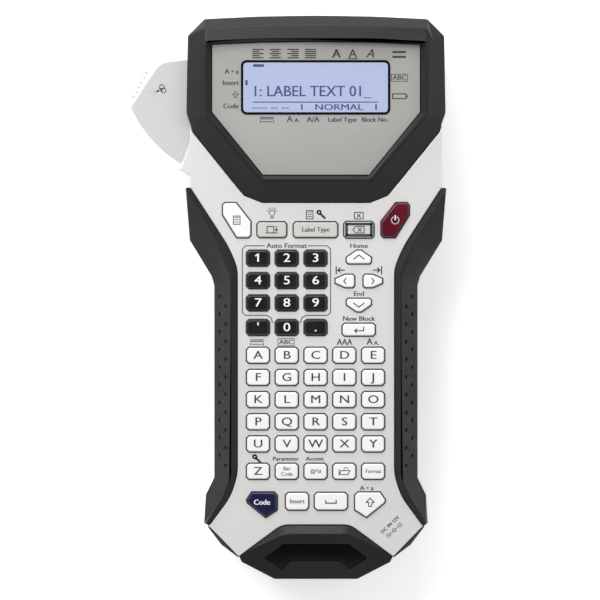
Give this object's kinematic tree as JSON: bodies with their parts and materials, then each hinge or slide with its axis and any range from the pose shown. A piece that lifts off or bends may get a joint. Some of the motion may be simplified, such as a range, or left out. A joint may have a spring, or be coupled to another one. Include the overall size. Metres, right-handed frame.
{
  "type": "handheld label maker",
  "caption": "Hand-held label maker with a wide display head, tape bay, side cutter lever, gripped keyboard handle and hinged rear covers.",
  "frame": {"origin": "centre of the cassette cover's flat outer face, on the middle plane of the body", "axes": "+X to the right of the display, +Y towards the head, +Z out of the display"},
  "size_m": [0.146, 0.2598, 0.057],
  "materials": {
    "silver_case": "satin silver paint on moulded plastic",
    "dark_case": "fine texture",
    "bumper": "satin",
    "grip": "matt elastomer",
    "panel": "satin",
    "lcd": "clear window over the display",
    "board": "solder resist",
    "mat": "silicone rubber",
    "key_white": "satin",
    "key_grey": "satin",
    "key_black": "gloss",
    "key_navy": "gloss",
    "key_red": "gloss",
    "cell": "printed sleeve",
    "steel": "brushed",
    "gear_plastic": "moulded acetal",
    "roller": "matt rubber",
    "cassette": "moulded",
    "lever_white": "satin"
  },
  "bodies": {
    "housing": {"front_case": "silver_case", "rear_case": "dark_case", "head_bumper": "bumper", "tail_bumper": "bumper", "left_grip": "grip", "right_grip": "grip", "display_panel": "panel", "lcd_window": "lcd", "lcd_module": "board", "main_board": "board", "key_mat": "mat", "key_board": "board", "dc_jack": "bumper", "aa_cell_pair_1": "cell", "aa_cell_pair_2": "cell", "aa_cell_pair_3": "cell", "aa_cell_pair_4": "cell", "battery_contact_tail": "steel", "battery_contact_head": "steel", "chassis": "steel", "drive_motor": "steel", "print_head": "steel", "tape_cassette": "cassette", "cutter_pivot_pin": "steel"},
    "cutter_lever": {"cutter_lever": "lever_white"},
    "blade": {"blade_carrier": "bumper", "cutter_blade": "steel"},
    "cassette_cover": {"cassette_cover": "dark_case"},
    "battery_cover": {"battery_cover": "dark_case"},
    "cover_latch": {"cover_latch": "bumper"},
    "platen": {"platen_gear": "gear_plastic", "platen_roller": "roller"},
    "motor_pinion": {"motor_pinion": "gear_plastic"},
    "idler_1": {"idler_gear_1": "gear_plastic"},
    "idler_2": {"idler_gear_2": "gear_plastic"},
    "ribbon_spindle": {"ribbon_spindle": "gear_plastic"},
    "print_key": {"print_key": "key_white"},
    "power_key": {"power_key": "key_red"},
    "feed_cut_key": {"feed_cut_key": "key_grey"},
    "label_type_key": {"label_type_key": "key_grey"},
    "backspace_key": {"backspace_key": "key_grey"},
    "up_key": {"up_key": "key_white"},
    "down_key": {"down_key": "key_white"},
    "left_key": {"left_key": "key_white"},
    "right_key": {"right_key": "key_white"},
    "enter_key": {"enter_key": "key_white"},
    "code_key": {"code_key": "key_navy"},
    "insert_key": {"insert_key": "key_white"},
    "space_key": {"space_key": "key_white"},
    "shift_key": {"shift_key": "key_white"},
    "number_row_1": {"number_row_1": "key_black"},
    "number_row_2": {"number_row_2": "key_black"},
    "number_row_3": {"number_row_3": "key_black"},
    "number_row_4": {"number_row_4": "key_black"},
    "letter_row_1": {"letter_row_1": "key_white"},
    "letter_row_2": {"letter_row_2": "key_white"},
    "letter_row_3": {"letter_row_3": "key_white"},
    "letter_row_4": {"letter_row_4": "key_white"},
    "letter_row_5": {"letter_row_5": "key_white"},
    "letter_row_6": {"letter_row_6": "key_white"}
  },
  "joints": [
    {"name": "print_key_press", "type": "slide", "parent": "housing", "child": "print_key", "axis": [0, 0, -1], "range_m": [0, 0.001], "stiffness_N_per_m": 400, "springref_m": -0.001},
    {"name": "power_key_press", "type": "slide", "parent": "housing", "child": "power_key", "axis": [0, 0, -1], "range_m": [0, 0.001], "stiffness_N_per_m": 400, "springref_m": -0.001},
    {"name": "feed_cut_key_press", "type": "slide", "parent": "housing", "child": "feed_cut_key", "axis": [0, 0, -1], "range_m": [0, 0.001], "stiffness_N_per_m": 400, "springref_m": -0.001},
    {"name": "label_type_key_press", "type": "slide", "parent": "housing", "child": "label_type_key", "axis": [0, 0, -1], "range_m": [0, 0.001], "stiffness_N_per_m": 400, "springref_m": -0.001},
    {"name": "backspace_key_press", "type": "slide", "parent": "housing", "child": "backspace_key", "axis": [0, 0, -1], "range_m": [0, 0.001], "stiffness_N_per_m": 400, "springref_m": -0.001},
    {"name": "up_key_press", "type": "slide", "parent": "housing", "child": "up_key", "axis": [0, 0, -1], "range_m": [0, 0.001], "stiffness_N_per_m": 400, "springref_m": -0.001},
    {"name": "down_key_press", "type": "slide", "parent": "housing", "child": "down_key", "axis": [0, 0, -1], "range_m": [0, 0.001], "stiffness_N_per_m": 400, "springref_m": -0.001},
    {"name": "left_key_press", "type": "slide", "parent": "housing", "child": "left_key", "axis": [0, 0, -1], "range_m": [0, 0.001], "stiffness_N_per_m": 400, "springref_m": -0.001},
    {"name": "right_key_press", "type": "slide", "parent": "housing", "child": "right_key", "axis": [0, 0, -1], "range_m": [0, 0.001], "stiffness_N_per_m": 400, "springref_m": -0.001},
    {"name": "enter_key_press", "type": "slide", "parent": "housing", "child": "enter_key", "axis": [0, 0, -1], "range_m": [0, 0.001], "stiffness_N_per_m": 400, "springref_m": -0.001},
    {"name": "code_key_press", "type": "slide", "parent": "housing", "child": "code_key", "axis": [0, 0, -1], "range_m": [0, 0.001], "stiffness_N_per_m": 400, "springref_m": -0.001},
    {"name": "insert_key_press", "type": "slide", "parent": "housing", "child": "insert_key", "axis": [0, 0, -1], "range_m": [0, 0.001], "stiffness_N_per_m": 400, "springref_m": -0.001},
    {"name": "space_key_press", "type": "slide", "parent": "housing", "child": "space_key", "axis": [0, 0, -1], "range_m": [0, 0.001], "stiffness_N_per_m": 400, "springref_m": -0.001},
    {"name": "shift_key_press", "type": "slide", "parent": "housing", "child": "shift_key", "axis": [0, 0, -1], "range_m": [0, 0.001], "stiffness_N_per_m": 400, "springref_m": -0.001},
    {"name": "number_row_1_press", "type": "slide", "parent": "housing", "child": "number_row_1", "axis": [0, 0, -1], "range_m": [0, 0.001], "stiffness_N_per_m": 400, "springref_m": -0.001},
    {"name": "number_row_2_press", "type": "slide", "parent": "housing", "child": "number_row_2", "axis": [0, 0, -1], "range_m": [0, 0.001], "stiffness_N_per_m": 400, "springref_m": -0.001},
    {"name": "number_row_3_press", "type": "slide", "parent": "housing", "child": "number_row_3", "axis": [0, 0, -1], "range_m": [0, 0.001], "stiffness_N_per_m": 400, "springref_m": -0.001},
    {"name": "number_row_4_press", "type": "slide", "parent": "housing", "child": "number_row_4", "axis": [0, 0, -1], "range_m": [0, 0.001], "stiffness_N_per_m": 400, "springref_m": -0.001},
    {"name": "letter_row_1_press", "type": "slide", "parent": "housing", "child": "letter_row_1", "axis": [0, 0, -1], "range_m": [0, 0.001], "stiffness_N_per_m": 400, "springref_m": -0.001},
    {"name": "letter_row_2_press", "type": "slide", "parent": "housing", "child": "letter_row_2", "axis": [0, 0, -1], "range_m": [0, 0.001], "stiffness_N_per_m": 400, "springref_m": -0.001},
    {"name": "letter_row_3_press", "type": "slide", "parent": "housing", "child": "letter_row_3", "axis": [0, 0, -1], "range_m": [0, 0.001], "stiffness_N_per_m": 400, "springref_m": -0.001},
    {"name": "letter_row_4_press", "type": "slide", "parent": "housing", "child": "letter_row_4", "axis": [0, 0, -1], "range_m": [0, 0.001], "stiffness_N_per_m": 400, "springref_m": -0.001},
    {"name": "letter_row_5_press", "type": "slide", "parent": "housing", "child": "letter_row_5", "axis": [0, 0, -1], "range_m": [0, 0.001], "stiffness_N_per_m": 400, "springref_m": -0.001},
    {"name": "letter_row_6_press", "type": "slide", "parent": "housing", "child": "letter_row_6", "axis": [0, 0, -1], "range_m": [0, 0.001], "stiffness_N_per_m": 400, "springref_m": -0.001},
    {"name": "cutter_squeeze", "type": "hinge", "parent": "housing", "child": "cutter_lever", "pos_m": [-0.0336, 0.0255, 0.042], "axis": [0, 0, 1], "range_deg": [0, 15], "stiffness_Nm_per_rad": 0.5, "springref_deg": -11.46},
    {"name": "blade_stroke", "type": "slide", "parent": "housing", "child": "blade", "axis": [0, -1, 0], "range_m": [0, 0.0056]},
    {"name": "latch_press", "type": "slide", "parent": "housing", "child": "cover_latch", "axis": [0, -1, 0], "range_m": [0, 0.002], "stiffness_N_per_m": 500, "springref_m": -0.002},
    {"name": "cassette_cover_swing", "type": "hinge", "parent": "housing", "child": "cassette_cover", "pos_m": [0, -0.0415, 0.0019], "axis": [-1, 0, 0], "range_deg": [0, 95]},
    {"name": "battery_cover_swing", "type": "hinge", "parent": "housing", "child": "battery_cover", "pos_m": [0, -0.1691, 0.0082], "axis": [-1, 0, 0], "range_deg": [0, 95]},
    {"name": "idler_1_spin", "type": "hinge", "parent": "housing", "child": "idler_1", "pos_m": [-0.03161, -0.02167, 0.04], "axis": [0, 0, 1], "continuous": true},
    {"name": "idler_2_spin", "type": "hinge", "parent": "housing", "child": "idler_2", "pos_m": [-0.04128, 0.00487, 0.04], "axis": [0, 0, 1], "continuous": true},
    {"name": "platen_spin", "type": "hinge", "parent": "housing", "child": "platen", "pos_m": [-0.046, 0.0225, 0.04], "axis": [0, 0, 1], "continuous": true},
    {"name": "motor_spin", "type": "hinge", "parent": "housing", "child": "motor_pinion", "pos_m": [-0.02976, -0.04284, 0.04], "axis": [0, 0, 1], "continuous": true},
    {"name": "ribbon_spin", "type": "hinge", "parent": "housing", "child": "ribbon_spindle", "pos_m": [-0.00985, -0.01705, 0.04], "axis": [0, 0, 1], "continuous": true}
  ],
  "couplings": [
    {"joint": "blade_stroke", "follows": "cutter_squeeze", "m_per_rad": 0.0205},
    {"joint": "idler_2_spin", "follows": "platen_spin", "ratio": -0.5},
    {"joint": "idler_1_spin", "follows": "platen_spin", "ratio": 0.375},
    {"joint": "motor_spin", "follows": "platen_spin", "ratio": -1.2},
    {"joint": "ribbon_spin", "follows": "platen_spin", "ratio": -1}
  ]
}
